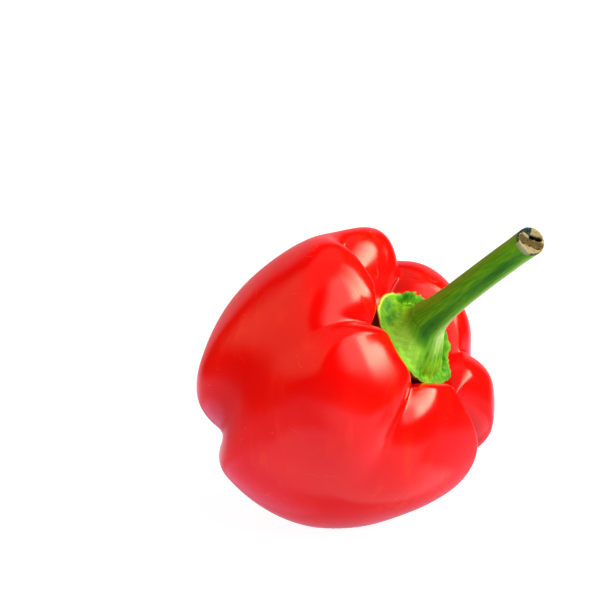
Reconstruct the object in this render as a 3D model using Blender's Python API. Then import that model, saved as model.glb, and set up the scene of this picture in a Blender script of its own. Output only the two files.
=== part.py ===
"""A bell pepper as picked, lying on its side: a squat fruit of six lobes, its green calyx and its cut stem.

Each of the three is one closed solid. They are shaped in the fruit's own frame, where +Z runs along the fruit's
axis to the stem, angles run round that axis from +X, and a point's polar angle is 0 at the stem and pi at the
blossom end. An empty then lays that frame down on the surface z = 0.
"""
import math
from typing import NamedTuple

import bmesh
import bpy
import numpy as np
from mathutils import Matrix, Vector

MM = 0.001
GAP = 0.3  # mm, left between two pieces that touch

# How the fruit lies: its middle (mm), then degrees that its axis points round from +X, leans from upright, and
# that the fruit is turned about it.
CENTRE = (-7.49, 0.71, 38.8)
HEADING = -33.3
LEAN = 63.6
TURN = -86.3

# Polar angles (rad) at which each crease's depth, flanks and twist are given, from the stem to the blossom end.
STATIONS = (0.40, 0.75, 1.15, 1.60, 2.05, 2.45)
# How round a crease's bottom is at each station: 0 is a sharp fold, 1 a wide valley.
SOFTNESS = (0.05, 0.08, 0.3, 0.6, 0.5, 0.4)


class Lobe(NamedTuple):
    """A lobe and the crease where it starts; it runs round to the next lobe's crease."""

    name: str
    crease: float  # degrees
    reach: float  # mm from the axis at its widest
    crest: float  # mm, height of its shoulder beside the stem
    tip: float  # mm, depth of its end beside the blossom scar
    wide: float  # mm, height at which it is widest
    tip_share: float  # of its reach that it keeps at the blossom end
    depth: tuple  # mm, of its crease, at the stations
    before: tuple  # degrees that the crease's flank spans on the last lobe's side
    after: tuple  # and on this lobe's side
    twist: tuple = (0, 0, 0, 0, 0, 0)  # degrees that the crease turns on its way


LOBES = (
    Lobe("under", 42, 42.5, 34.2, 31, 5, 0.92,
         (4, 5, 1, 0.3, 0, 0), (34, 32, 30, 30, 30, 30), (34, 32, 30, 30, 30, 30)),
    Lobe("right", 124, 50.5, 33.0, 28, 6, 0.80,
         (4, 7, 5, 3.5, 3, 3), (30, 22, 16, 18, 25, 30), (30, 25, 20, 22, 25, 30)),
    Lobe("far", 162, 48.5, 29.6, 28, 6, 0.80,
         (4, 6, 4, 2.5, 3, 3), (30, 25, 22, 22, 25, 30), (30, 25, 22, 22, 25, 30)),
    Lobe("top", 220, 38.0, 31.0, 28, 10, 0.80,
         (4, 6, 3, 1, 1, 1), (30, 30, 32, 30, 25, 25), (30, 26, 24, 25, 25, 25)),
    Lobe("left", 262, 36.5, 33.0, 32, 12, 0.99,
         (4, 6, 2, 1.5, 2.5, 4.5), (30, 26, 26, 28, 28, 28), (30, 26, 26, 28, 28, 28)),
    Lobe("near", 325, 40.3, 36.0, 35.5, 4, 1.10,
         (4, 6, 1.5, 1, 4.5, 7.5), (34, 30, 34, 40, 44, 48), (34, 30, 30, 28, 20, 16), (0, 1, 9, 20, 34, 44)),
)
CREASES = np.radians([lobe.crease for lobe in LOBES])
SPANS = (np.roll(CREASES, -1) - CREASES) % (2 * math.pi)

SQUARENESS = 2.5  # power of the rounded square that a lobe's side is; 2 would be an ellipse
TAPER = 1.2  # power at which a lobe narrows to the blossom end
SEAT = 21.0  # mm, height of the stem hollow's floor, on which the calyx sits
HOLLOW_R = 15.0
HOLLOW_POWER = 3.5
SCAR = -18.0  # mm, height of the blossom scar, in a dimple
DIMPLE_R = 11.0

# The calyx: a wavy green cap that flares from the stem. Bumps are (degrees, mm, how narrow).
RIM_R = 12.0
RIM_HEIGHT = 27.6
RIM_TIPS = ((97, 1.4, 12), (120, 2.5, 60), (158, 2.0, 25), (228, 2.5, 25), (278, 2.5, 12), (330, 1, 6), (30, 1, 6))
RIM_RISES = ((20, 2.0, 2), (228, 1.0, 10), (85, 1.4, 4), (120, 0.5, 30))
RIM_LIP = 1.6
RIM_THICKNESS = 1.0
FLARE = 2.4
NECK_R = 4.7
FOOT_R = 8.5
BED_RISE = 1.15  # how much faster than the hollow the calyx's underside climbs, to stay clear of it

# The stem: an arc from the calyx's neck to the cut, then its radii along the way.
STEM_START = Vector((0.3, -3.9, 35.3))
STEM_BEND = Vector((2.3, -8.7, 55.0))
STEM_END = Vector((4.4, -12.2, 75.0))
STEM_RADII = (4.7, 4.2, 3.8, 3.65, 3.55, 3.55, 3.7)
CUT_SLANT = 15.0  # degrees that the cut is off square, towards the fruit's +X
STEM_STEPS = 12

FRUIT_COLUMNS_PER_LOBE = 13
FRUIT_RINGS = 40
CALYX_COLUMNS = 72
CALYX_RINGS = 20


def new_collection(name):
    """A new collection in the scene."""
    collection = bpy.data.collections.new(name)
    bpy.context.scene.collection.children.link(collection)
    return collection


def material(name, colour, roughness):
    """A plain Principled material."""
    made = bpy.data.materials.new(name)
    made.use_nodes = True
    shader = made.node_tree.nodes["Principled BSDF"]
    shader.inputs["Base Color"].default_value = (*colour, 1)
    shader.inputs["Roughness"].default_value = roughness
    shader.inputs["Metallic"].default_value = 0
    return made


def pulled_sphere(name, columns, rings, shape, looks, collection, parent):
    """A closed ball whose every point is moved by shape(polar angle, angle round the axis), in millimetres."""
    ball = bmesh.new()
    bmesh.ops.create_uvsphere(ball, u_segments=columns, v_segments=rings, radius=1)
    mesh = bpy.data.meshes.new(name)
    ball.to_mesh(mesh)
    ball.free()
    points = np.empty(3 * len(mesh.vertices), np.float32)
    mesh.vertices.foreach_get("co", points)
    x, y, z = points.reshape(-1, 3).T.astype(float)
    polar = np.arccos(np.clip(z, -1, 1))
    around = np.arctan2(y, x) % (2 * math.pi)
    mesh.vertices.foreach_set("co", (shape(polar, around) * MM).astype(np.float32).ravel())
    mesh.shade_smooth()
    mesh.materials.append(looks)
    made = bpy.data.objects.new(name, mesh)
    made.parent = parent
    collection.objects.link(made)
    return made


def smoothstep(x):
    """0 to 1 with level ends."""
    x = np.clip(x, 0, 1)
    return x * x * (3 - 2 * x)


def along(polar, values):
    """The value at a polar angle, on a smooth curve through its values at the stations."""
    knots = np.array(STATIONS)
    values = np.array(values, float)
    polar = np.clip(polar, knots[0], knots[-1])
    i = np.clip(np.searchsorted(knots, polar, side="right") - 1, 0, len(knots) - 2)
    slopes = np.gradient(values, knots)
    step = knots[i + 1] - knots[i]
    t = (polar - knots[i]) / step
    return (
        (1 + 2 * t) * (1 - t) ** 2 * values[i]
        + t * (1 - t) ** 2 * step * slopes[i]
        + t * t * (3 - 2 * t) * values[i + 1]
        + t * t * (t - 1) * step * slopes[i + 1]
    )


def round_blend(polar, angle, name):
    """A lobe dimension at an angle round the axis, blended from the lobes that are near, and from all at a pole."""
    middles = CREASES + SPANS / 2
    apart = smoothstep(np.sin(polar) / 0.35)
    weights = np.exp(np.array([apart * 4.8 / s**2 * (np.cos(angle - m) - 1) for m, s in zip(middles, SPANS)]))
    values = np.array([getattr(lobe, name) for lobe in LOBES], float)
    return np.tensordot(values, weights / weights.sum(axis=0), 1)


def swell(polar, angle):
    """The fruit without its creases: a rounded block with a hollow for the stem and a dimple at the other end."""
    names = ("reach", "crest", "tip", "wide", "tip_share")
    reach, crest, tip, wide, share = (round_blend(polar, angle, name) for name in names)
    s = np.sin(polar)
    c = np.cos(polar)
    size = (np.abs(s) ** SQUARENESS + np.abs(c) ** SQUARENESS) ** (-1 / SQUARENESS)
    rise = c * size
    height = wide + rise * np.where(c > 0, crest - wide, tip + wide)
    radius = reach * s * size * (1 - (1 - share) * np.clip(-rise, 0, 1) ** TAPER)
    out_of_hollow = 1 - np.exp(-((radius / HOLLOW_R) ** HOLLOW_POWER))
    out_of_dimple = 1 - np.exp(-((radius / DIMPLE_R) ** 2))
    height = np.where(c > 0, SEAT + (height - SEAT) * out_of_hollow, SCAR + (height - SCAR) * out_of_dimple)
    return np.stack([radius * np.cos(angle), radius * np.sin(angle), height], -1)


def crease_pull(polar, angle):
    """How far the creases draw the skin in: rounded V shapes whose flanks end at their widths."""
    soft = along(polar, SOFTNESS)
    pull = 0.0
    for lobe in LOBES:
        line = np.radians(lobe.crease + along(polar, lobe.twist))
        away = (angle - line + math.pi) % (2 * math.pi) - math.pi
        width = np.radians(np.where(away < 0, along(polar, lobe.before), along(polar, lobe.after)))
        x = np.abs(away) / width
        rounded = (np.sqrt(x * x + soft**2) - soft) / (np.sqrt(1 + soft**2) - soft)
        pull = pull + np.maximum(along(polar, lobe.depth), 0) * np.clip(1 - rounded, 0, 1) ** 2
    return pull * smoothstep(np.sin(polar) / 0.3)


def skin(polar, angle):
    """A point of the fruit's skin, drawn in along the swell's own normal at the creases."""
    step = 0.001
    ahead = np.minimum(polar + step, math.pi - 1e-6)
    behind = np.maximum(polar - step, 1e-6)
    normal = np.cross(
        swell(ahead, angle) - swell(behind, angle),
        swell(polar, angle + step) - swell(polar, angle - step),
    )
    normal /= np.linalg.norm(normal, axis=-1, keepdims=True) + 1e-12
    return swell(polar, angle) - normal * crease_pull(polar, angle)[..., None]


def fruit_shape(polar, around):
    """The skin, with the ball's columns shared out evenly to the lobes, closer together beside the creases."""
    place = around / (2 * math.pi) * len(LOBES)
    lobe = np.floor(place + 1e-6).astype(int) % len(LOBES)
    t = np.clip(place - lobe, 0, 1)
    t = t - 0.6 * np.sin(2 * math.pi * t) / (2 * math.pi)
    twists = np.radians([along(polar, each.twist) for each in LOBES])
    vertex = np.arange(len(polar))
    ahead = (lobe + 1) % len(LOBES)
    angle = CREASES[lobe] + SPANS[lobe] * t + twists[lobe, vertex] * (1 - t) + twists[ahead, vertex] * t
    return skin(polar, angle)


def bumps(angle, places):
    """The sum of round bumps at the given angles."""
    return sum(high * np.exp(narrow * (np.cos(angle - math.radians(at)) - 1)) for at, high, narrow in places)


def calyx_shape(polar, angle):
    """The cap: a seat for the stem, the flaring face, the rim's edge, and an underside that rests in the hollow."""
    seat_edge = math.radians(18)
    under_edge = math.radians(108)
    lean = (STEM_BEND - STEM_START) / (STEM_BEND - STEM_START).z
    rim_r = RIM_R + bumps(angle, RIM_TIPS)
    rim_w = RIM_HEIGHT + bumps(angle, RIM_RISES) + RIM_LIP * (0.5 - 0.5 * np.cos(angle - math.radians(20)))

    neck_r = NECK_R * np.clip(polar / seat_edge, 0, 1)
    neck_w = STEM_START.z - GAP - neck_r * (lean.x * np.cos(angle) + lean.y * np.sin(angle))
    s = np.clip((polar - seat_edge) / (math.pi / 2 - seat_edge), 0, 1)
    rest = (1 - s) ** FLARE
    radius = neck_r + (rim_r - neck_r) * s
    height = rim_w + (neck_w - rim_w) * rest

    edge = np.clip((polar - math.pi / 2) / (under_edge - math.pi / 2), 0, 1)
    q = np.clip((math.pi - polar) / (math.pi - under_edge), 0, 1)
    under_r = (rim_r - 0.6 * RIM_THICKNESS) * q
    climb = BED_RISE * (max(lobe.crest for lobe in LOBES) - SEAT)
    bed = SEAT + GAP + climb * (1 - np.exp(-((under_r / HOLLOW_R) ** HOLLOW_POWER)))
    spread = smoothstep((under_r - FOOT_R) / (rim_r - RIM_THICKNESS - FOOT_R))
    under_w = bed + (rim_w - RIM_THICKNESS - bed) * spread
    below = polar > math.pi / 2
    radius = np.where(below, np.where(edge < 1, rim_r - 0.6 * RIM_THICKNESS * edge**2, under_r), radius)
    height = np.where(below, np.where(edge < 1, rim_w - RIM_THICKNESS * edge, under_w), height)
    off = np.where(below, 0, rest)
    return np.stack([
        radius * np.cos(angle) + STEM_START.x * off,
        radius * np.sin(angle) + STEM_START.y * off,
        height,
    ], -1)


def stem(looks, collection, parent):
    """The stem: a tube along its arc, whose last short step turns the cut face off square."""
    centres = []
    for k in range(STEM_STEPS + 1):
        t = k / STEM_STEPS
        centres.append(STEM_START * (1 - t) ** 2 + STEM_BEND * 2 * t * (1 - t) + STEM_END * t * t)
    last = (centres[-1] - centres[-2]).normalized()
    across = Vector((0, 1, 0)).cross(last).normalized()
    turned = last * math.cos(math.radians(CUT_SLANT)) + across * math.sin(math.radians(CUT_SLANT))
    centres.append(centres[-1] + turned * 1.0)
    curve = bpy.data.curves.new("stem", "CURVE")
    curve.dimensions = "3D"
    curve.bevel_depth = MM
    curve.bevel_resolution = 6
    curve.use_fill_caps = True
    spline = curve.splines.new("POLY")
    spline.points.add(len(centres) - 1)
    for k, (point, centre) in enumerate(zip(spline.points, centres)):
        point.co = (*(centre * MM), 1)
        point.radius = float(np.interp(k / STEM_STEPS, np.linspace(0, 1, len(STEM_RADII)), STEM_RADII))
    curve.materials.append(looks)
    made = bpy.data.objects.new("stem", curve)
    made.parent = parent
    collection.objects.link(made)
    return made


def rest_on_floor(fruit, collection):
    """Takes off what would be below the surface, so the fruit has a small flat spot to lie on."""
    bpy.ops.mesh.primitive_cube_add(size=1, location=(0, 0, -10 * MM))
    slab = bpy.context.object
    slab.name = "floor_cutter"
    slab.data.transform(Matrix.Diagonal((200 * MM, 200 * MM, 20 * MM, 1)))
    slab.hide_render = True
    slab.display_type = "WIRE"
    for other in slab.users_collection:
        other.objects.unlink(slab)
    collection.objects.link(slab)
    cut = fruit.modifiers.new("flat spot", "BOOLEAN")
    cut.operation = "DIFFERENCE"
    cut.object = slab


def main():
    """Builds the pepper in an empty scene."""
    for old in list(bpy.data.objects):
        bpy.data.objects.remove(old)
    pieces = new_collection("bell_pepper")
    cutters = new_collection("cutters")
    lie = bpy.data.objects.new("lie", None)
    turn = Matrix.Rotation(math.radians(HEADING), 4, "Z")
    turn = turn @ Matrix.Rotation(math.radians(LEAN), 4, "Y") @ Matrix.Rotation(math.radians(TURN), 4, "Z")
    lie.rotation_euler = turn.to_euler()
    lie.location = Vector(CENTRE) * MM
    pieces.objects.link(lie)

    red = material("skin", (0.75, 0.01, 0.005), 0.2)
    light_green = material("calyx", (0.3, 0.5, 0.08), 0.5)
    green = material("stem", (0.1, 0.3, 0.03), 0.45)
    columns = FRUIT_COLUMNS_PER_LOBE * len(LOBES)
    fruit = pulled_sphere("fruit", columns, FRUIT_RINGS, fruit_shape, red, pieces, lie)
    pulled_sphere("calyx", CALYX_COLUMNS, CALYX_RINGS, calyx_shape, light_green, pieces, lie)
    stem(green, pieces, lie)
    rest_on_floor(fruit, cutters)


main()
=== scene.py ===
"""The finished look of a bell pepper that lies on its side, with glossy red skin and a green calyx and stem.

All shapes are worked out in the fruit's own frame, in millimetres. +Z runs along its axis to the stem,
angles run round that axis from +X, and a polar angle is 0 at the stem and pi at the blossom end.
"""
import math
from typing import NamedTuple

import bpy
import numpy as np
from bpy.props import FloatProperty, FloatVectorProperty, IntProperty, PointerProperty
from mathutils import Matrix, Vector


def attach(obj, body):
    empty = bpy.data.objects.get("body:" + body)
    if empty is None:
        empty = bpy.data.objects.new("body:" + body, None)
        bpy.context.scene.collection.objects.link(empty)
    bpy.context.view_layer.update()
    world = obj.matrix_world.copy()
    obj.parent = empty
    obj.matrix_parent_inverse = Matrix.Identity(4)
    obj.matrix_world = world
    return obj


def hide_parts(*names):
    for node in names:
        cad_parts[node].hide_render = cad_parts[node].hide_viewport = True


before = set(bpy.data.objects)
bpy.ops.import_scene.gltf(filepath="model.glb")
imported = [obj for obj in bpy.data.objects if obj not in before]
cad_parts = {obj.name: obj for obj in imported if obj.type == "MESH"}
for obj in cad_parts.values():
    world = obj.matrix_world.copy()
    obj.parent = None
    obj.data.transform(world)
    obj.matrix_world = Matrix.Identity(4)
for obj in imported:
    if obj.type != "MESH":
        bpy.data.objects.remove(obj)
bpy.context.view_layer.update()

bl_info = {
    "name": "Bell Pepper",
    "version": (1, 0, 0),
    "blender": (4, 5, 0),
    "location": "3D View > Sidebar > Pepper",
    "description": "Builds a red bell pepper lying on a pale floor",
    "category": "Add Mesh",
}

MM = 0.001
TURN_AROUND = 2 * math.pi

# How the fruit lies: its middle (mm), then degrees that its axis points round from +X, that the axis leans
# from upright, and that the fruit is turned about it.
CENTRE = (-7.49, 0.71, 38.8)
HEADING = -33.3
LEAN = 63.6
TURN = -86.3

# Polar angles (rad), from the stem on, at which each crease's depth, flanks and twist are given.
STATIONS = (0.40, 0.75, 1.15, 1.60, 2.05, 2.45)
# How round a crease's bottom is at each station: 0 is a sharp fold, 1 a wide valley.
SOFTNESS = (0.05, 0.08, 0.3, 0.6, 0.4, 0.15)


class Lobe(NamedTuple):
    """A lobe and the crease where it starts; it runs round to the next lobe's crease."""

    name: str
    crease: float  # degrees
    reach: float  # mm from the axis at its widest
    crest: float  # mm, height of its shoulder beside the stem
    tip: float  # mm, depth of its end beside the blossom scar
    wide: float  # mm, height at which it is widest
    tip_share: float  # of its reach that it keeps at the blossom end
    mouth: float  # mm from the axis, where its shoulder drops steeply into the stem's hollow
    dip: float  # mm that the shoulder sinks towards the axis before that
    dip_r: float  # mm from the axis, how wide that dip is
    square: float  # power of the rounded square that its shoulder is; 2 would be an ellipse
    depth: tuple  # mm, of its crease, at the stations
    before: tuple  # degrees that the crease's flank spans on the last lobe's side
    after: tuple  # and on this lobe's side
    twist: tuple = (0, 0, 0, 0, 0, 0)  # degrees that the crease turns on its way


LOBES = (
    Lobe(
        "under", crease=38, reach=41.8, crest=34.0, tip=34, wide=5, tip_share=1.02,
        mouth=11.0, dip=2, dip_r=13, square=2.5, depth=(3.2, 3.6, 2.2, 0.3, 0, 0),
        before=(24, 20, 24, 30, 30, 30), after=(30, 28, 30, 30, 30, 30), twist=(0, 1, 6, 8, 8, 8),
    ),
    Lobe(
        "right", crease=118, reach=50.5, crest=34.5, tip=28, wide=5, tip_share=0.80,
        mouth=18.0, dip=9, dip_r=21, square=2.35, depth=(4, 6.5, 6, 3.5, 3, 3),
        before=(24, 12, 15, 20, 25, 30), after=(25, 14, 15, 22, 25, 30),
    ),
    Lobe(
        "far", crease=162, reach=47.5, crest=35.0, tip=28, wide=3, tip_share=0.80,
        mouth=23.0, dip=8, dip_r=26, square=2.1, depth=(3, 4, 3, 2.5, 3, 3),
        before=(22, 16, 16, 20, 25, 30), after=(26, 22, 18, 22, 25, 30),
    ),
    Lobe(
        "top", crease=224, reach=35.0, crest=26.0, tip=28, wide=10, tip_share=0.80,
        mouth=18.0, dip=9, dip_r=26, square=5.0, depth=(5, 8, 6.5, 2, 1, 1),
        before=(28, 34, 34, 30, 25, 25), after=(20, 20, 21, 25, 25, 25),
    ),
    Lobe(
        "left", crease=275, reach=37.6, crest=35.0, tip=32, wide=12, tip_share=0.89,
        mouth=17.6, dip=7, dip_r=20, square=3.3, depth=(6, 7.5, 1.5, 0.5, 2.5, 4.5),
        before=(28, 25, 28, 28, 28, 28), after=(30, 20, 24, 28, 28, 28), twist=(3, 0, -5, -12, -12, -12),
    ),
    Lobe(
        "near", crease=326, reach=40.3, crest=38.0, tip=35.5, wide=4, tip_share=1.03,
        mouth=13.4, dip=8, dip_r=20, square=2.8, depth=(3, 3.8, 2.4, 2.0, 4.0, 5.5),
        before=(16, 32, 34, 40, 38, 38), after=(14, 12, 20, 30, 25, 20), twist=(4, 7, 12, 20, 31, 39),
    ),
)
CREASES = np.radians([lobe.crease for lobe in LOBES])
SPANS = (np.roll(CREASES, -1) - CREASES) % TURN_AROUND

# How the lobes join up, and what the whole fruit shares.
BLEND = 4.8  # how closely a lobe's dimensions keep to its own span
POLE_BLEND = 0.35  # sine of the polar angle below which they blend into those of all lobes
POLE_FADE = 0.3  # sine of the polar angle below which creases and dents fade out
CROWDING = 0.6  # share by which the columns stand closer together beside a crease
SQUARENESS = 2.5  # power of the rounded square for the half of the fruit that is away from the stem
TAPER = 1.2  # power at which a lobe narrows to the blossom end
DIP_RISE = 0.4  # share of the shoulder's height over which its dip comes in
SEAT = 21.0  # mm, height of the stem hollow's floor, on which the calyx sits
HOLLOW_POWER = 7  # how steeply a shoulder drops at its mouth
SCAR = -18.0  # mm, height of the blossom scar, in a dimple
DIMPLE_R = 11.0  # mm
CREASE_SHADE_FULL = 5  # mm that a crease draws in where its painted shade is at its darkest

# The calyx: a green cap that flares from the stem. Its rim's way round, as degrees and mm from the axis, and
# then as degrees and mm above RIM_HEIGHT. The ribs that run down it from the stem are degrees, mm and how
# narrow; a negative height makes a groove.
RIM_HEIGHT = 27.6
RIM_REACH = (
    (15, 12.5), (44, 11.1), (65, 11.6), (88, 12.7), (104, 13.2), (120, 15.0), (134, 13.5), (148, 13.2),
    (162, 14.2), (180, 12.9), (205, 12.8), (228, 13.8), (247, 12.9), (266, 13.3), (283, 14.6), (310, 15.3),
    (328, 14.0), (350, 12.8),
)
RIM_RISE = (
    (15, 2.5), (44, 1.6), (88, 0.9), (120, 0.9), (160, 1.9), (200, 2.2), (228, 2.4), (283, 1.2), (315, 0.8),
)
RIBS = (
    (58, -0.5, 160), (72, 0.7, 70), (108, 1.1, 60), (125, -1.3, 150), (138, 0.5, 200), (165, 0.6, 24),
    (228, 0.9, 18), (285, 0.7, 18), (345, 0.3, 20),
)
RIM_THICKNESS = 0.6  # mm
CURL_RISE = 0.9  # mm that the rim rises where it is wholly curled up
FOOT = SEAT + 0.1  # mm, height of the underside's middle
FOOT_R = 8.6  # mm, how wide the underside is flat
EDGE_ROWS = 8  # rows of points round the rim's edge
UNDER_ROWS = 40  # and across the underside

# The stem (mm): an arc from the calyx's neck to the cut, then its radii along the way.
STEM_START = np.array((0.3, -3.9, 35.3))
STEM_BEND = np.array((2.3, -8.7, 55.0))
STEM_END = np.array((4.4, -12.2, 75.0))
STEM_R = 3.62
NECK_R = 5.3  # where it meets the calyx
NECK_FADE = 0.12  # of its length, over which it thins from that
CUT_SWELL = 0.12  # mm that it widens at the cut
FLUTE = 0.12  # mm, height of its five soft flutes
FINE_RIB = 0.035  # mm, height of its fine ribs

# The dried cut: degrees that its face is off square, then its marks in mm along its two directions across.
# The slit and the pith are each a line from point to point and how wide they are; a drip is its degrees, its
# mm from the middle and its size. Heights and depths are mm along the stem.
CUT_FACE_SLANT = 18.0
SLIT = ((-0.75, -0.95), (-2.45, 0.85), 0.42)
PITH = ((1.85, -1.75), (-1.15, 2.15), 1.15)
DRIPS = ((-6, 3.75, 0.75), (10, 3.4, 0.4), (26, 3.35, 0.85))
SLIT_DEPTH = 2.2
PITH_DEPTH = 0.35
RING_HEIGHT = 0.30
DRIP_HEIGHT = 0.35
BRUISE_DEPTH = 0.25

# The space in which the green's fibre noise is looked up: a drum of this radius, with this much height for
# the stem and for the calyx.
FIBRE_R = 4
FIBRE_STEM = 2.4
FIBRE_CALYX = 1.4

# The camera's view (degrees, metres, and the lens in mm): it looks along +Y and down at this point.
VIEW_ELEVATION = 12.0
VIEW_DISTANCE = 0.68
VIEW_AIM = (-0.01668, 0.00492, 0.05863)
VIEW_LENS = 150.96


class FruitSettings(bpy.types.PropertyGroup):
    """The fruit's fineness and its skin."""

    rings: IntProperty(
        name="Rings", description="Rings from the stem to the blossom end", default=236, min=24
    )
    columns: IntProperty(name="Columns", description="Columns on each lobe", default=64, min=8)
    dent: FloatProperty(
        name="Dents", description="Depth of the skin's broad shallow dents",
        default=0.0004, min=0, unit="LENGTH",
    )
    red: FloatVectorProperty(
        name="Red", description="The skin's main colour",
        default=(0.62, 0.0014, 0.0008), subtype="COLOR", max=1, min=0,
    )
    warm: FloatVectorProperty(
        name="Warm red", description="Its warmer patches",
        default=(0.66, 0.004, 0.001), subtype="COLOR", max=1, min=0,
    )


class GreenSettings(bpy.types.PropertyGroup):
    """The calyx's and the stem's fineness and main colour."""

    columns: IntProperty(name="Columns", description="Columns round the stem", default=300, min=24)
    stem_rows: IntProperty(name="Stem rows", description="Rows along the stem", default=110, min=12)
    face_rows: IntProperty(name="Face rows", description="Rows across the calyx", default=90, min=12)
    cut_rows: IntProperty(
        name="Cut rows", description="Rows from the cut's middle to its edge", default=48, min=6
    )
    light: FloatVectorProperty(
        name="Light green", description="The calyx's face",
        default=(0.15, 0.44, 0.006), subtype="COLOR", max=1, min=0,
    )


class StageSettings(bpy.types.PropertyGroup):
    """The floor's size."""

    floor: FloatProperty(
        name="Floor", description="Half the floor's width", default=4.0, min=1, unit="LENGTH"
    )


def smoothstep(x):
    """0 to 1 with level ends."""
    x = np.clip(x, 0, 1)
    return x * x * (3 - 2 * x)


def cubic(t, step, start, end, leaving, arriving):
    """A cubic piece between two knots a step apart, from its values and its slopes at both."""
    return (
        (1 + 2 * t) * (1 - t) ** 2 * start
        + t * (1 - t) ** 2 * step * leaving
        + t * t * (3 - 2 * t) * end
        + t * t * (t - 1) * step * arriving
    )


def along(polar, values):
    """The value at a polar angle, on a smooth curve through its values at the stations."""
    knots = np.array(STATIONS)
    values = np.array(values, float)
    polar = np.clip(polar, knots[0], knots[-1])
    i = np.clip(np.searchsorted(knots, polar, side="right") - 1, 0, len(knots) - 2)
    slopes = np.gradient(values, knots)
    step = knots[i + 1] - knots[i]
    return cubic((polar - knots[i]) / step, step, values[i], values[i + 1], slopes[i], slopes[i + 1])


def round_blend(polar, angle, name):
    """A lobe dimension at an angle round the axis, blended from the lobes near by, and from all at a pole.

    A lobe's weight is a round bump about the middle of its span, as wide as the span.
    """
    middles = CREASES + SPANS / 2
    apart = smoothstep(np.sin(polar) / POLE_BLEND)
    weights = np.exp(np.array([
        apart * BLEND / span**2 * (np.cos(angle - middle) - 1) for middle, span in zip(middles, SPANS)
    ]))
    values = np.array([getattr(lobe, name) for lobe in LOBES], float)
    return np.tensordot(values, weights / weights.sum(axis=0), 1)


def swell(polar, angle):
    """The fruit without its creases: a rounded block with a hollow for the stem and a dimple at the far end.

    Its section along the axis is a rounded square, where the powers of sine and cosine add up to one. Bell
    curves of the distance from the axis cut the shoulder's dip, the hollow and the dimple.
    """
    names = ("reach", "crest", "tip", "wide", "tip_share", "mouth", "dip", "dip_r", "square")
    blended = (round_blend(polar, angle, name) for name in names)
    reach, crest, tip, wide, share, mouth, dip, dip_r, square = blended
    s = np.sin(polar)
    c = np.cos(polar)
    power = np.where(c > 0, square, SQUARENESS)
    size = (np.abs(s) ** power + np.abs(c) ** power) ** (-1 / power)
    rise = c * size
    height = wide + rise * np.where(c > 0, crest - wide, tip + wide)
    radius = reach * s * size * (1 - (1 - share) * np.clip(-rise, 0, 1) ** TAPER)
    height = height - dip * np.exp(-((radius / dip_r) ** 2)) * smoothstep(rise / DIP_RISE)
    out_of_hollow = 1 - np.exp(-((radius / mouth) ** HOLLOW_POWER))
    out_of_dimple = 1 - np.exp(-((radius / DIMPLE_R) ** 2))
    height = np.where(c > 0, SEAT + (height - SEAT) * out_of_hollow, SCAR + (height - SCAR) * out_of_dimple)
    return np.stack([radius * np.cos(angle), radius * np.sin(angle), height], -1)


def crease_pull(polar, angle):
    """How far the creases draw the skin in (mm): rounded V shapes whose flanks end at their widths.

    Across a flank the pull falls as the square of what is left of the way, and a hyperbola rounds off the
    V's point.
    """
    soft = along(polar, SOFTNESS)
    pull = 0.0
    for lobe in LOBES:
        line = np.radians(lobe.crease + along(polar, lobe.twist))
        away = (angle - line + math.pi) % TURN_AROUND - math.pi
        width = np.radians(np.where(away < 0, along(polar, lobe.before), along(polar, lobe.after)))
        x = np.abs(away) / width
        rounded = (np.sqrt(x * x + soft**2) - soft) / (np.sqrt(1 + soft**2) - soft)
        pull = pull + np.maximum(along(polar, lobe.depth), 0) * np.clip(1 - rounded, 0, 1) ** 2
    return pull * smoothstep(np.sin(polar) / POLE_FADE)


def dents(points):
    """0 to 1: broad shallow dents, a sum of waves 23 to 34 mm long that run in unlike directions."""
    waves = (
        ((0.16, 0.05, 0.11), 0.4),
        ((-0.09, 0.15, 0.06), 2.1),
        ((0.05, -0.12, 0.19), 4.0),
        ((0.21, 0.17, -0.04), 1.3),
        ((-0.14, 0.08, -0.2), 5.2),
    )
    total = sum(np.sin(points @ np.array(way) + start) for way, start in waves)
    return 0.5 + 0.5 * total / len(waves)


def skin(polar, angle, dent):
    """Points of the fruit's skin (mm), drawn in along the swell's own normal at creases and dents."""
    step = 0.001  # radians, for the swell's slopes
    ahead = np.minimum(polar + step, math.pi - 1e-6)
    behind = np.maximum(polar - step, 1e-6)
    normal = np.cross(
        swell(ahead, angle) - swell(behind, angle),
        swell(polar, angle + step) - swell(polar, angle - step),
    )
    normal /= np.linalg.norm(normal, axis=-1, keepdims=True) + 1e-12
    base = swell(polar, angle)
    pull = crease_pull(polar, angle) + dent * dents(base) * smoothstep(np.sin(polar) / POLE_FADE)
    return base - normal * pull[..., None]


def fruit_angles(polar, around):
    """Shares the columns out evenly to the lobes, closer beside the creases, and follows their twist."""
    place = around / TURN_AROUND * len(LOBES)
    lobe = np.floor(place + 1e-6).astype(int) % len(LOBES)
    t = np.clip(place - lobe, 0, 1)
    t = t - CROWDING * np.sin(TURN_AROUND * t) / TURN_AROUND
    twists = np.radians([along(polar, each.twist) for each in LOBES])
    twist_here = np.take_along_axis(twists, lobe[None], 0)[0]
    twist_next = np.take_along_axis(twists, ((lobe + 1) % len(LOBES))[None], 0)[0]
    return CREASES[lobe] + SPANS[lobe] * t + twist_here * (1 - t) + twist_next * t


def laid(points):
    """Points of the fruit's own frame, in millimetres, taken to where the fruit lies, in metres."""
    turn = Matrix.Rotation(math.radians(HEADING), 3, "Z")
    turn = turn @ Matrix.Rotation(math.radians(LEAN), 3, "Y") @ Matrix.Rotation(math.radians(TURN), 3, "Z")
    return (points @ np.array(turn).T + np.array(CENTRE)) * MM


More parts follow.
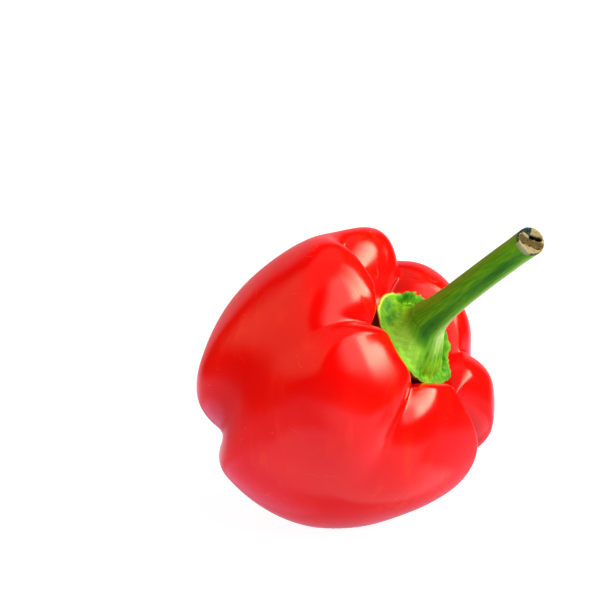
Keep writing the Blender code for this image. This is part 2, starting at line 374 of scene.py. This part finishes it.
def closed_surface(name, rows, first, last):
    """A closed mesh object from rows of points that each go once round, shut at both ends by a point."""
    count, columns = rows.shape[:2]
    points = np.concatenate([rows.reshape(-1, 3), first[None], last[None]])
    i, j = np.meshgrid(np.arange(count - 1), np.arange(columns), indexing="ij")
    k = (j + 1) % columns
    quads = np.stack([i * columns + j, (i + 1) * columns + j, (i + 1) * columns + k, i * columns + k], -1)
    j = np.arange(columns)
    k = (j + 1) % columns
    end = (count - 1) * columns
    top = np.stack([j, k, np.full(columns, count * columns)], -1)
    bottom = np.stack([end + k, end + j, np.full(columns, count * columns + 1)], -1)
    corners = np.concatenate([quads.ravel(), top.ravel(), bottom.ravel()])
    sizes = np.concatenate([np.full(quads.size // 4, 4), np.full(2 * columns, 3)])
    mesh = bpy.data.meshes.new(name)
    mesh.vertices.add(len(points))
    mesh.vertices.foreach_set("co", points.astype(np.float32).ravel())
    mesh.loops.add(len(corners))
    mesh.loops.foreach_set("vertex_index", corners.astype(np.int32))
    mesh.polygons.add(len(sizes))
    mesh.polygons.foreach_set("loop_start", np.concatenate([[0], np.cumsum(sizes)[:-1]]).astype(np.int32))
    mesh.update(calc_edges=True)
    mesh.shade_smooth()
    made = bpy.data.objects.new(name, mesh)
    bpy.context.scene.collection.objects.link(made)
    return made


def give_points(piece, name, values):
    """Stores a number for every point of a piece, for its material to read."""
    layer = piece.data.attributes.new(name, "FLOAT", "POINT")
    layer.data.foreach_set("value", np.asarray(values, np.float32).ravel())


def give_vectors(piece, name, values):
    """Stores a vector for every point of a piece, for its material to read."""
    layer = piece.data.attributes.new(name, "FLOAT_VECTOR", "POINT")
    layer.data.foreach_set("vector", np.asarray(values, np.float32).ravel())


class Nodes:
    """A node tree, made and joined by short calls."""

    def __init__(self, tree):
        self.tree = tree

    def put(self, kind, **inputs):
        """Adds a node with its own settings, and with inputs that are values or other nodes' outputs.

        An input goes by its name, or by its number after an i.
        """
        node = self.tree.nodes.new("ShaderNode" + kind)
        for key, value in inputs.items():
            if hasattr(node, key):
                setattr(node, key, value)
        for key, value in inputs.items():
            if not hasattr(node, key):
                numbered = key[0] == "i" and key[1:].isdigit()
                self.feed(node.inputs[int(key[1:]) if numbered else key], value)
        return node

    def feed(self, socket, value):
        """Sets a socket, or links an output to it."""
        if isinstance(value, bpy.types.NodeSocket):
            self.tree.links.new(value, socket)
        else:
            socket.default_value = value

    def here(self):
        """The point in the object's own coordinates."""
        return self.put("TexCoord").outputs["Object"]

    def attribute(self, name):
        """A number stored on the points."""
        return self.put("Attribute", attribute_name=name).outputs["Fac"]

    def attribute_vector(self, name):
        """A vector stored on the points."""
        return self.put("Attribute", attribute_name=name).outputs["Vector"]

    def noise(self, where, scale, detail=2.0, roughness=0.5):
        """Soft noise, 0 to 1."""
        node = self.put("TexNoise", Vector=where, Scale=scale, Detail=detail, Roughness=roughness)
        return node.outputs["Fac"]

    def ramp(self, value, low, high, to_low=0.0, to_high=1.0):
        """A value taken smoothly from one range to another."""
        node = self.put("MapRange", interpolation_type="SMOOTHSTEP", Value=value)
        ends = (("From Min", low), ("From Max", high), ("To Min", to_low), ("To Max", to_high))
        for key, number in ends:
            node.inputs[key].default_value = number
        return node.outputs["Result"]

    def math(self, operation, a, b=0.0):
        """One sum on two values."""
        return self.put("Math", operation=operation, i0=a, i1=b).outputs[0]

    def times(self, a, b):
        """One value times another."""
        return self.math("MULTIPLY", a, b)

    def mix(self, share, a, b):
        """The second colour over the first, by a share; a colour is an output or three numbers."""
        node = self.put("Mix", data_type="RGBA")
        self.feed(node.inputs[0], share)
        for socket, value in ((node.inputs[6], a), (node.inputs[7], b)):
            self.feed(socket, (*value, 1) if isinstance(value, tuple) else value)
        return node.outputs[2]

    def bump(self, height, strength, distance, normal=None):
        """A bump normal."""
        node = self.put("Bump", Height=height, Strength=strength, Distance=distance)
        if normal is not None:
            self.feed(node.inputs["Normal"], normal)
        return node.outputs["Normal"]


class Look(Nodes):
    """A material's nodes, which end in a Principled shader."""

    def __init__(self, name):
        self.material = bpy.data.materials.new(name)
        self.material.use_nodes = True
        super().__init__(self.material.node_tree)
        self.shader = self.tree.nodes["Principled BSDF"]

    def finish(self, **inputs):
        """Feeds the Principled shader."""
        for key, value in inputs.items():
            self.feed(self.shader.inputs[key.replace("_", " ")], value)


def skin_look(settings):
    """Waxy red skin: broad warmer patches with drawn-out streaks in them, painted shade along the
    creases, a few fine pale specks, hair-fine scratches and a faint ripple."""
    look = Look("pepper_skin")
    here = look.here()
    patches = look.ramp(look.noise(here, 45, 3), 0.35, 0.7)
    colour = look.mix(patches, tuple(settings.red), tuple(settings.warm))
    drawn = look.put("Mapping", Vector=here, Scale=(1.0, 1.0, 0.22)).outputs["Vector"]
    streak = look.ramp(look.noise(drawn, 210, 5, 0.6), 0.5, 0.72, 0, 0.5)
    colour = look.mix(look.times(streak, patches), colour, (0.78, 0.03, 0.006))
    # Painted shade: the skin turns a deep dark red along the creases, darkest where they draw in most.
    colour = look.mix(look.ramp(look.attribute("crease_shade"), 0.2, 1.0, 0, 0.55), colour, (0.35, 0.0, 0.0))
    grain = look.noise(here, 700, 3)
    specks = look.put("TexVoronoi", Vector=here, Scale=420)
    near = look.ramp(specks.outputs["Distance"], 0.03, 0.09, 1, 0)
    chance = look.put("SeparateColor", Color=specks.outputs["Color"]).outputs[0]
    few = look.math("GREATER_THAN", chance, 0.94)
    speck = look.times(near, few)
    colour = look.mix(look.times(speck, 0.7), colour, (0.95, 0.34, 0.26))
    sway = look.put("TexNoise", Vector=here, Scale=55.0).outputs["Color"]
    sway = look.put("VectorMath", operation="SCALE", Vector=sway, Scale=0.02).outputs[0]
    bent = look.put("VectorMath", operation="ADD", i0=here, i1=sway).outputs[0]
    lines = look.put("TexVoronoi", feature="DISTANCE_TO_EDGE", Vector=bent, Scale=52.0).outputs["Distance"]
    hair = look.ramp(lines, 0.0, 0.006, 1, 0)
    scratch = look.times(hair, look.ramp(look.noise(here, 130, 3), 0.56, 0.66))
    colour = look.mix(look.times(scratch, 0.13), colour, (0.9, 0.25, 0.16))
    ripple = look.noise(here, 90, 2)
    gloss = look.ramp(look.noise(here, 60, 4), 0.3, 0.7, 0.13, 0.2)
    fine = look.bump(grain, 0.04, 0.0002)
    normal = look.bump(ripple, 0.12, 0.0006, fine)
    look.finish(Base_Color=colour, Roughness=gloss, Normal=normal)
    look.finish(IOR=1.38, Subsurface_Weight=0.08, Subsurface_Scale=0.004)
    look.shader.inputs["Subsurface Radius"].default_value = (1.0, 0.15, 0.08)
    return look.material


def bumps(angle, places):
    """The sum of round bumps, each at its degrees, as high and as narrow as given."""
    return sum(
        high * np.exp(narrow * (np.cos(angle - math.radians(at)) - 1)) for at, high, narrow in places
    )


def sector(angle, start, end, soft=8.0):
    """1 between two angles round the axis (degrees), and 0 outside, with soft ends."""
    middle = math.radians((start + end) / 2)
    away = np.degrees(np.abs((angle - middle + math.pi) % TURN_AROUND - math.pi))
    return 1 - smoothstep((away - (end - start) / 2) / soft + 0.5)


def round_curve(angle, knots):
    """A smooth closed curve through its values at some angles: cubic pieces with the knots' mean slopes."""
    at = np.radians([knot[0] for knot in knots])
    value = np.array([knot[1] for knot in knots], float)
    at = np.concatenate([at[-2:] - TURN_AROUND, at, at[:2] + TURN_AROUND])
    value = np.concatenate([value[-2:], value, value[:2]])
    slope = np.gradient(value, at)
    angle = (angle - at[2]) % TURN_AROUND + at[2]
    i = np.clip(np.searchsorted(at, angle, side="right") - 1, 2, len(at) - 3)
    step = at[i + 1] - at[i]
    return cubic((angle - at[i]) / step, step, value[i], value[i + 1], slope[i], slope[i + 1])


def stem_frame(t):
    """The stem's centre, its direction and two directions across it, at shares of its way to the cut."""
    t = np.asarray(t, float)[:, None]
    centre = STEM_START * (1 - t) ** 2 + STEM_BEND * 2 * t * (1 - t) + STEM_END * t * t
    way = 2 * (1 - t) * (STEM_BEND - STEM_START) + 2 * t * (STEM_END - STEM_BEND)
    way /= np.linalg.norm(way, axis=1, keepdims=True)
    first = np.array([1.0, 0, 0]) - way * way[:, :1]
    first /= np.linalg.norm(first, axis=1, keepdims=True)
    return centre, way, first, np.cross(way, first)


def fibres(angle, way):
    """-1 to 1: fine ribs that run along the stem, from waves round it whose places drift along the way."""
    drift = 0.35 * np.sin(way * 3.1 + 1.0)
    ribs = np.sin(13 * angle + drift + 0.6) * 0.5 + np.sin(23 * angle - 2 * drift + 2.0) * 0.3
    return ribs + np.sin(41 * angle + 3 * drift + way * 1.7) * 0.2


def stem_rows(count, angle):
    """The tube along its arc, from the slanted cut down to the calyx's neck, with flutes and fine ribs, and
    each point's share of the way to the cut."""
    t = np.linspace(1, 0, count)
    centre, way, first, second = stem_frame(t)
    smooth = STEM_R + (NECK_R - STEM_R) * np.exp(-t / NECK_FADE) + CUT_SWELL * smoothstep((t - 0.86) / 0.14)
    a, along_t = np.meshgrid(angle, t)
    flutes = FLUTE * np.cos(5 * a + 0.8) * (0.5 + 0.5 * np.cos(3 * along_t))
    size = smooth[:, None] + flutes + FINE_RIB * fibres(a, along_t * 4)
    outward = np.cos(a)[..., None] * first[:, None] + np.sin(a)[..., None] * second[:, None]
    across = size[..., None] * outward
    lean = math.tan(math.radians(CUT_FACE_SLANT)) * smoothstep((along_t - 0.8) / 0.2) * size * np.cos(a)
    return centre[:, None] + across - lean[..., None] * way[:, None], along_t


def curl_share(angle):
    """How far the rim is curled up: wholly beside the right, far and top lobes, and less at the bottom."""
    return sector(angle, 128, 268, 30) + 0.45 * sector(angle, 66, 112, 20)


def calyx_rows(face_rows, edge_rows, under_rows, angle):
    """The cap in three parts: a face that flares from the stem's neck, its edge, and its underside.

    The face's height falls from the neck as a power of what is left of the way out. To that come ribs that
    fade at the rim, fine fibres, a pucker of crossed waves, a groove as a bell-shaped dip and the rim's curl
    as a smooth rise after it. Three waves of unlike lengths crinkle the rim. The edge is a half round, and
    the underside is a skirt that drops from the rim to the foot.
    """
    lean = (STEM_BEND - STEM_START) / (STEM_BEND - STEM_START)[2]
    s = np.linspace(0, 1, face_rows + 1)[1:, None]
    a = angle[None]
    crinkle = 0.13 * np.sin(13 * a + 3 * np.sin(2 * a)) + 0.09 * np.sin(27 * a + 6 * np.sin(a + 1))
    crinkle = crinkle + 0.05 * np.sin(53 * a + 5 * np.sin(3 * a))
    crinkle = crinkle * (0.7 + 1.0 * sector(a, 50, 140, 40) + 1.1 * sector(a, 212, 272, 24))
    curl = curl_share(a)
    rim_r = round_curve(a, RIM_REACH) + crinkle
    rim_w = RIM_HEIGHT + round_curve(a, RIM_RISE) + 1.5 * crinkle * (0.3 + curl)
    neck_w = STEM_START[2] - NECK_R * (lean[0] * np.cos(a) + lean[1] * np.sin(a))

    # The face, from the neck out.
    rest = (1 - s) ** 1.75
    radius = NECK_R + (rim_r - NECK_R) * s**1.35
    ribs = bumps(a, RIBS) * np.sin(math.pi * s**0.8) ** 1.2
    fine = 0.05 * fibres(a, 0) * smoothstep(s * 3) * (1 - s**4)
    pucker = 0.16 * np.sin(19 * a + 9 * s) * np.sin(23 * s + 3 * np.sin(2 * a))
    pucker = pucker * smoothstep((s - 0.25) / 0.3)
    groove = (0.35 + 1.35 * curl) * np.exp(-(((s - 0.74) / 0.12) ** 2))
    lift = CURL_RISE * curl * smoothstep((s - 0.78) / 0.2)
    low = rim_w - CURL_RISE * curl
    height = low + (neck_w - rim_w + CURL_RISE * curl) * rest + ribs + fine + pucker - groove + lift
    shift = (1 - s) ** 2.6
    face = np.stack([
        radius * np.cos(a) + STEM_START[0] * shift,
        radius * np.sin(a) + STEM_START[1] * shift,
        height,
    ], -1)

    # The edge, from its upper side round to its lower.
    bend = np.linspace(0, math.pi, edge_rows + 2)[1:-1, None]
    half = RIM_THICKNESS / 2
    edge_r = rim_r + half * np.sin(bend)
    edge_w = height[-1] - half + half * np.cos(bend)
    edge = np.stack([edge_r * np.cos(a), edge_r * np.sin(a), edge_w], -1)

    # The underside, from the rim in.
    q = np.linspace(1, 0, under_rows + 1)[:-1, None]
    under_r = rim_r * q
    spread = smoothstep((under_r - FOOT_R) / (rim_r - FOOT_R)) ** 2.2
    under_w = FOOT + (height[-1] - RIM_THICKNESS - FOOT) * spread
    under = np.stack([under_r * np.cos(a), under_r * np.sin(a), under_w], -1)
    return face, edge, under


def from_line(u, v, start, end):
    """The distance of points (u, v) from a straight stretch."""
    way = np.subtract(end, start)
    t = np.clip(((u - start[0]) * way[0] + (v - start[1]) * way[1]) / (way @ way), 0, 1)
    return np.hypot(u - start[0] - t * way[0], v - start[1] - t * way[1])


def cut_rows(count, rim, centre, way, first, second):
    """The cut's face from its middle to the stem's edge, and how strongly each of its marks shows there.

    Its relief along the stem is a low ring, a pith and a bruise that have shrunk, a deep narrow slit and
    dried drips on the rim.
    """
    share = (np.linspace(0, 1, count + 1)[1:] ** 0.8)[:, None]
    flat = centre + (rim - centre)[None] * share[..., None]
    u = (flat - centre) @ first
    v = (flat - centre) @ second
    a = np.arctan2(v, u)

    # The slit, the ragged pith, the bruise outside a wavy inner edge, and the drips.
    off = from_line(u, v, SLIT[0], SLIT[1])
    slit = 1 - smoothstep((off - SLIT[2] * 0.6) / (SLIT[2] * 0.9))
    off = from_line(u, v, PITH[0], PITH[1])
    ragged = 0.12 * np.sin(7 * a) + 0.08 * np.sin(13 * a + 1)
    pith = 1 - smoothstep((off + ragged - PITH[2] * 0.75) / 0.35)
    inner = 0.88 - 0.5 * np.exp(-(((np.degrees(a) % 360 - 250) / 26) ** 2)) + 0.03 * np.sin(11 * a)
    bruise = sector(a, 233, 338, 5) * smoothstep((share - inner) / 0.06)
    bruise = np.maximum(bruise, sector(a, 48, 102, 14) * smoothstep((share - 0.9) / 0.06) * 0.9)
    drips = np.zeros_like(u)
    for at, far, size in DRIPS:
        gap = np.hypot(u - far * math.cos(math.radians(at)), v - far * math.sin(math.radians(at)))
        drips = np.maximum(drips, 1 - smoothstep(gap / size - 0.2))

    grain = 0.05 * np.sin(31 * a + 5 * share) + 0.04 * np.sin(47 * a)
    ring = RING_HEIGHT * smoothstep((share - 0.62) / 0.2) * (1 - smoothstep((share - 0.93) / 0.07))
    relief = ring + grain * share - PITH_DEPTH * pith - SLIT_DEPTH * slit + DRIP_HEIGHT * drips
    relief = relief - BRUISE_DEPTH * bruise * (1 - share)
    shape = flat + relief[..., None] * way
    # The slit's share for its colour: it is painted near black, as painted shade in its depth.
    slit = smoothstep(slit / 0.2)
    return shape, {"slit": slit, "pith": pith * (1 - slit), "bruise": bruise, "drip": drips}


def green_look(settings):
    """Green stem and calyx: long fibres; painted shade as a dark streak down one side of the stem and a
    painted pale sheen along its lower side; a pale sector of painted sheen and a deep green sector with
    painted shade in its grooves and inside the curled rim on the calyx; an olive underside; and a dried,
    woody cut whose slit is painted near black as shade."""
    look = Look("pepper_green")
    here = look.here()
    fibre = look.attribute_vector("fibre")
    streaks = look.ramp(look.noise(fibre, 3.0, 4, 0.65), 0.3, 0.7)
    fine = look.ramp(look.noise(fibre, 9.0, 3, 0.6), 0.3, 0.7)
    patch = look.ramp(look.noise(here, 260, 3), 0.35, 0.65)

    def laid_on(base, areas):
        """Colours over a base, each in its area and made uneven by a texture, down to its least share."""
        for name, texture, least, colour in areas:
            share = look.times(look.attribute(name), look.ramp(texture, 0, 1, least, 1.0))
            base = look.mix(share, base, colour)
        return base

    stem = laid_on(look.mix(streaks, (0.012, 0.25, 0.002), (0.12, 0.42, 0.006)), (
        ("olive", fine, 0.5, (0.12, 0.38, 0.01)),
        # Painted shade: a dark streak down the stem's shaded side.
        ("streak", fine, 0.7, (0.001, 0.11, 0.003)),
        # Painted sheen: pale green along the stem's lower side.
        ("painted_lower_sheen", streaks, 0.6, (0.36, 0.6, 0.2)),
    ))
    face = look.mix(look.times(streaks, patch), tuple(settings.light), (0.018, 0.23, 0.002))
    face = laid_on(face, (
        # Painted sheen: a paler green over the calyx's near sector.
        ("pale", fine, 0.55, (0.2, 0.52, 0.045)),
        # Darker green: partly the calyx's own deeper tone, partly painted shade in its grooves and inside
        # the curled rim.
        ("deep", patch, 0.45, (0.006, 0.19, 0.002)),
    ))
    flecks = look.put("TexVoronoi", Vector=here, Scale=1300)
    fleck = look.times(look.ramp(flecks.outputs["Distance"], 0.12, 0.3, 1, 0),
                      look.ramp(look.noise(here, 500, 2), 0.5, 0.62))
    face = look.mix(look.times(fleck, 0.45), face, (0.34, 0.45, 0.16))
    face = look.mix(look.attribute("edge"), face, (0.5, 0.62, 0.08))
    colour = look.mix(look.attribute("on_stem"), face, stem)
    under = look.attribute("under")
    colour = look.mix(under, colour, look.mix(patch, (0.1, 0.12, 0.008), (0.26, 0.34, 0.04)))

    # The cut's dried wood, and its marks over it.
    speckle = look.ramp(look.noise(here, 2200, 3, 0.7), 0.35, 0.65)
    mottle = look.ramp(look.noise(here, 900, 4, 0.7), 0.5, 0.68)
    wood = look.mix(speckle, (0.27, 0.24, 0.13), (0.36, 0.4, 0.2))
    wood = look.mix(look.times(mottle, 0.6), wood, (0.09, 0.09, 0.02))
    for name, mark in (
        ("pith", look.mix(speckle, (0.03, 0.028, 0.004), (0.13, 0.11, 0.035))),
        ("bruise", look.mix(speckle, (0.002, 0.008, 0.02), (0.006, 0.05, 0.06))),
        # Painted shade: the slit is near black.
        ("slit", (0.002, 0.005, 0.012)),
        ("drip", (0.26, 0.35, 0.27)),
    ):
        wood = look.mix(look.attribute(name), wood, mark)
    colour = look.mix(look.attribute("on_cut"), colour, wood)

    height = look.math("ADD", look.noise(fibre, 9.0, 3, 0.6), look.times(look.noise(here, 900, 3), 0.5))
    look.finish(Base_Color=colour, Roughness=look.ramp(fine, 0, 1, 0.36, 0.5))
    look.finish(Normal=look.bump(height, 0.6, 0.0004), IOR=1.4, Specular_IOR_Level=0.25)
    look.finish(Subsurface_Weight=0.05, Subsurface_Scale=0.001)
    return look.material


def floor_look():
    """White floor that is lit a little from below, as a light table is."""
    look = Look("floor_white")
    look.finish(Base_Color=(0.16, 0.16, 0.16, 1), Roughness=0.7)
    look.finish(Emission_Color=(0.93, 0.985, 1.0, 1), Emission_Strength=0.95)
    return look.material


def studio_air():
    """The room's light, painted by direction: a dim red from every side, and patches of light over it.

    Directions are degrees round the room, 0 to the front and 90 to the right, and degrees up from the level.
    The viewer sees plain white.
    """
    world = bpy.data.worlds.new("studio")
    world.use_nodes = True
    air = Nodes(world.node_tree)
    parts = air.put("SeparateXYZ", Vector=air.put("TexCoord").outputs["Generated"])
    x, y, z = parts.outputs
    round_way = air.times(air.math("ARCTAN2", x, air.times(y, -1.0)), 180 / math.pi)
    up = air.times(air.math("ARCSINE", z), 180 / math.pi)

    def window(value, low, high, soft_low, soft_high):
        """1 between two angles, and down to 0 over a soft stretch outside each."""
        return air.times(air.ramp(value, low - soft_low, low), air.ramp(value, high, high + soft_high, 1, 0))

    def lamp(level, colour, *windows):
        """A patch of light where all its windows are open."""
        for each in windows:
            level = air.times(each, level)
        return air.put("VectorMath", operation="SCALE", Vector=colour, Scale=level).outputs[0]

    key = window(round_way, 70, 104, 16, 10)
    front = air.times(window(round_way, -5, 60, 30, 20), window(up, -91, -18, 1, 8))
    below = air.times(window(round_way, -64, 120, 30, 20), window(up, -91, -38, 1, 10))
    lamps = [
        # The tall soft box at the right, brightest low down, and a dimmer scrim beside it.
        lamp(air.ramp(up, 22, 58, 16.0, 3.0), (1.1, 1.0, 0.72), key, window(up, 23, 50, 6, 20)),
        lamp(2.8, (1.1, 1.0, 0.9), window(round_way, 34, 64, 30, 12), window(up, 22, 54, 7, 16)),
        # A warm wall at the upper left, and the ceiling.
        lamp(0.85, (1.4, 1.0, 0.66), window(round_way, -100, -34, 30, 20), window(up, 18, 44, 14, 24)),
        lamp(0.4, (1.3, 1.0, 0.8), window(up, 64, 90, 14, 1)),
        # A grey back, on both sides of the seam in the way round.
        lamp(0.3, (0.95, 0.95, 1.05), window(round_way, -181, -150, 1, 16), window(up, -14, 26, 8, 20)),
        lamp(0.3, (0.95, 0.95, 1.05), window(round_way, 160, 181, 16, 1), window(up, -14, 26, 8, 20)),
        # The pale table: bright in front and below, bluish all round, more so at the lower left.
        lamp(0.75, (1.0, 1.0, 1.1), air.math("MAXIMUM", front, below)),
        lamp(0.3, (0.9, 1.0, 1.4), window(up, -91, -14, 1, 8)),
        lamp(0.32, (0.9, 0.75, 1.5), window(round_way, -150, -84, 16, 24), window(up, -62, -28, 20, 5)),
    ]
    light = (0.45, 0.03, 0.02)
    for each in lamps:
        light = air.put("VectorMath", operation="ADD", i0=light, i1=each).outputs[0]
    seen = air.put("LightPath").outputs["Is Camera Ray"]
    air.feed(air.tree.nodes["Background"].inputs["Color"], air.mix(seen, light, (1.0, 1.0, 1.0)))
    return world


def green_areas(a, place, out, below):
    """Shares, 0 to 1, of where each of the green's colours lies.

    They are products of sectors round the axis and smooth steps along the stem and out over the calyx. A
    point has its angle, its place up the stem (1 at the cut), its way out over the calyx (1 at the rim), and
    how far it is round to the underside.
    """
    # Darker green: a deeper tone in one sector, and painted shade inside the curled rim, along the grooves
    # at 58 and 125 degrees and at the rim near 117 degrees.
    deep = [
        0.9 * sector(a, 290, 320, 16) * smoothstep((out - 0.5) / 0.2)
        * (1 - smoothstep((out - 0.92) / 0.05)),
        curl_share(a) * smoothstep((out - 0.7) / 0.12) * 0.85,
        bumps(a, ((59, 0.8, 300), (125, 1.0, 260))) * smoothstep(out / 0.3),
        bumps(a, ((117, 1.0, 90),)) * smoothstep((out - 0.86) / 0.08),
    ]
    return {
        "on_stem": smoothstep((0.45 - out) / 0.45),
        "under": below,
        # Painted shade down the stem's shaded side, fading out onto the calyx.
        "streak": (
            sector(a, 12, 46, 24) * smoothstep((0.5 - out) / 0.4) * (0.75 + 0.25 * np.cos(9 * place))
        ),
        # Painted pale sheen along the stem's lower side.
        "painted_lower_sheen": sector(a, 66, 118, 26) * (1 - sector(a, 12, 52, 22)),
        "olive": sector(a, 250, 322, 40) * (0.45 + 0.55 * smoothstep((0.35 - place) / 0.4)),
        # Painted sheen: the calyx's near sector, away from the neck and the rim.
        "pale": (
            sector(a, -28, 42, 22) * smoothstep((out - 0.2) / 0.2) * (1 - smoothstep((out - 0.86) / 0.1))
        ),
        "deep": np.clip(np.maximum.reduce(deep), 0, 1),
        "edge": smoothstep((out - 0.95) / 0.04) * (0.1 + 0.8 * sector(a, 272, 318, 24)) * (below < 0.9),
    }


class PEPPER_OT_fruit(bpy.types.Operator):
    """Builds the fruit: six lobes, the creases between them and the skin."""

    bl_idname = "pepper.fruit"
    bl_label = "Fruit"

    def execute(self, context):
        settings = context.scene.pepper_fruit
        rings = np.linspace(0, math.pi, settings.rings + 1)[1:-1]
        columns = np.arange(settings.columns * len(LOBES)) / (settings.columns * len(LOBES)) * TURN_AROUND
        polar, around = np.meshgrid(rings, columns, indexing="ij")
        angle = fruit_angles(polar, around)
        rows = laid(skin(polar, angle, settings.dent / MM))
        poles = laid(np.array([[0, 0, SEAT], [0, 0, SCAR]]))
        rows[..., 2] = np.maximum(rows[..., 2], 0)
        fruit = closed_surface("pepper_fruit", rows, poles[0], poles[1])
        # How far each point lies down a crease, for the painted shade there.
        crease_shade = np.clip(crease_pull(polar, angle) / CREASE_SHADE_FULL, 0, 1)
        give_points(fruit, "crease_shade", np.concatenate([crease_shade.ravel(), [1, 1]]))
        fruit.data.materials.append(skin_look(settings))
        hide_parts("fruit")
        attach(fruit, "root")
        return {"FINISHED"}


class PEPPER_OT_green(bpy.types.Operator):
    """Builds the stem and the calyx that it flares into, as the one green piece that they grow as."""

    bl_idname = "pepper.green"
    bl_label = "Stem and calyx"

    def execute(self, context):
        settings = context.scene.pepper_green
        angle = np.arange(settings.columns) / settings.columns * TURN_AROUND
        stem, share = stem_rows(settings.stem_rows, angle)
        face, edge, under = calyx_rows(settings.face_rows, EDGE_ROWS, UNDER_ROWS, angle)
        centre, way, first, second = (part[0] for part in stem_frame([1.0]))
        cut, marks = cut_rows(settings.cut_rows, stem[0], centre, way, first, second)
        middle = cut[0].mean(axis=0)
        rows = np.concatenate([cut[:-1], stem, face, edge, under])
        ends = laid(np.array([middle, [0, 0, FOOT]]))
        green = closed_surface("pepper_stem_and_calyx", laid(rows), ends[0], ends[1])

        # Each point's angle, its place up the stem, its way out over the calyx and whether it is underneath.
        counts = [len(cut) - 1, len(stem), len(face), len(edge), len(under)]
        on_cut_rows, on_stem_rows, on_face_rows, on_edge_rows, on_under_rows = counts
        a = np.broadcast_to(angle, (sum(counts), len(angle)))
        place = [np.full(on_cut_rows, 1.0), share[:, 0], np.zeros(sum(counts[2:]))]
        out = [
            np.zeros(on_cut_rows + on_stem_rows),
            np.linspace(0, 1, on_face_rows + 1)[1:],
            np.ones(on_edge_rows + on_under_rows),
        ]
        place = np.concatenate(place)[:, None] * np.ones_like(a)
        out = np.concatenate(out)[:, None] * np.ones_like(a)
        below = np.repeat([0, 0, 0, 0.5, 1], counts)[:, None] * np.ones_like(a)

        at_ends = {"on_stem": (1, 0), "under": (0, 1)}
        for name, values in green_areas(a, place, out, below).items():
            give_points(green, name, np.concatenate([values.ravel(), at_ends.get(name, (0, 0))]))

        # The cut's colours run a little over its edge, onto the stem's first rows.
        on_cut = np.zeros_like(a)
        on_cut[:on_cut_rows] = 1
        on_cut[on_cut_rows : on_cut_rows + 2] = 0.7
        give_points(green, "on_cut", np.concatenate([on_cut.ravel(), [1, 0]]))
        for name, values in marks.items():
            whole = np.zeros_like(a)
            whole[: on_cut_rows + 1] = values
            whole[on_cut_rows + 1 : on_cut_rows + 3] = values[-1] * 0.8
            give_points(green, name, np.concatenate([whole.ravel(), [values[0].mean(), 0]]))

        height = place * FIBRE_STEM - out * FIBRE_CALYX
        fibre = np.stack([FIBRE_R * np.cos(a), FIBRE_R * np.sin(a), height], -1)
        fibre_ends = [[0, 0, FIBRE_STEM], [0, 0, -FIBRE_CALYX]]
        give_vectors(green, "fibre", np.concatenate([fibre.reshape(-1, 3), fibre_ends]))

        green.data.materials.append(green_look(settings))
        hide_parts("calyx", "stem")
        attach(green, "root")
        return {"FINISHED"}


class PEPPER_OT_stage(bpy.types.Operator):
    """Sets the white floor, the room's light and the camera."""

    bl_idname = "pepper.stage"
    bl_label = "Stage"

    def execute(self, context):
        settings = context.scene.pepper_stage
        half = settings.floor
        mesh = bpy.data.meshes.new("floor")
        corners = [(-half, -half, 0), (half, -half, 0), (half, half, 0), (-half, half, 0)]
        mesh.from_pydata(corners, [], [(0, 1, 2, 3)])
        floor = bpy.data.objects.new("floor", mesh)
        floor.data.materials.append(floor_look())
        context.scene.collection.objects.link(floor)
        floor.visible_glossy = False
        context.scene.world = studio_air()
        context.scene.view_settings.view_transform = "Standard"
        lens = bpy.data.cameras.new("camera")
        lens.lens = VIEW_LENS
        lens.clip_start = 0.01
        camera = bpy.data.objects.new("camera", lens)
        tilt = math.radians(VIEW_ELEVATION)
        back = Vector((0, -math.cos(tilt), math.sin(tilt)))
        camera.location = Vector(VIEW_AIM) + back * VIEW_DISTANCE
        camera.rotation_euler = (math.radians(90 - VIEW_ELEVATION), 0, 0)
        context.scene.collection.objects.link(camera)
        context.scene.camera = camera
        return {"FINISHED"}


class PEPPER_PT_sidebar(bpy.types.Panel):
    """Lists the pepper's pieces in the 3D view's sidebar."""

    bl_label = "Bell Pepper"
    bl_space_type = "VIEW_3D"
    bl_region_type = "UI"
    bl_category = "Pepper"

    def draw(self, context):
        for operator in OPERATORS:
            self.layout.operator(operator.bl_idname)


GROUPS = {"pepper_fruit": FruitSettings, "pepper_green": GreenSettings, "pepper_stage": StageSettings}
OPERATORS = (PEPPER_OT_fruit, PEPPER_OT_green, PEPPER_OT_stage)


def register():
    """Makes the settings, the operators and the panel known to Blender."""
    for name, group in GROUPS.items():
        bpy.utils.register_class(group)
        setattr(bpy.types.Scene, name, PointerProperty(type=group))
    for operator in OPERATORS:
        bpy.utils.register_class(operator)
    bpy.utils.register_class(PEPPER_PT_sidebar)


def unregister():
    """Takes them away again."""
    bpy.utils.unregister_class(PEPPER_PT_sidebar)
    for operator in reversed(OPERATORS):
        bpy.utils.unregister_class(operator)
    for name, group in reversed(GROUPS.items()):
        delattr(bpy.types.Scene, name)
        bpy.utils.unregister_class(group)


def main():
    """Builds every piece and the stage."""
    register()
    bpy.ops.pepper.fruit()
    bpy.ops.pepper.green()
    bpy.ops.pepper.stage()


if __name__ == "__main__":
    main()
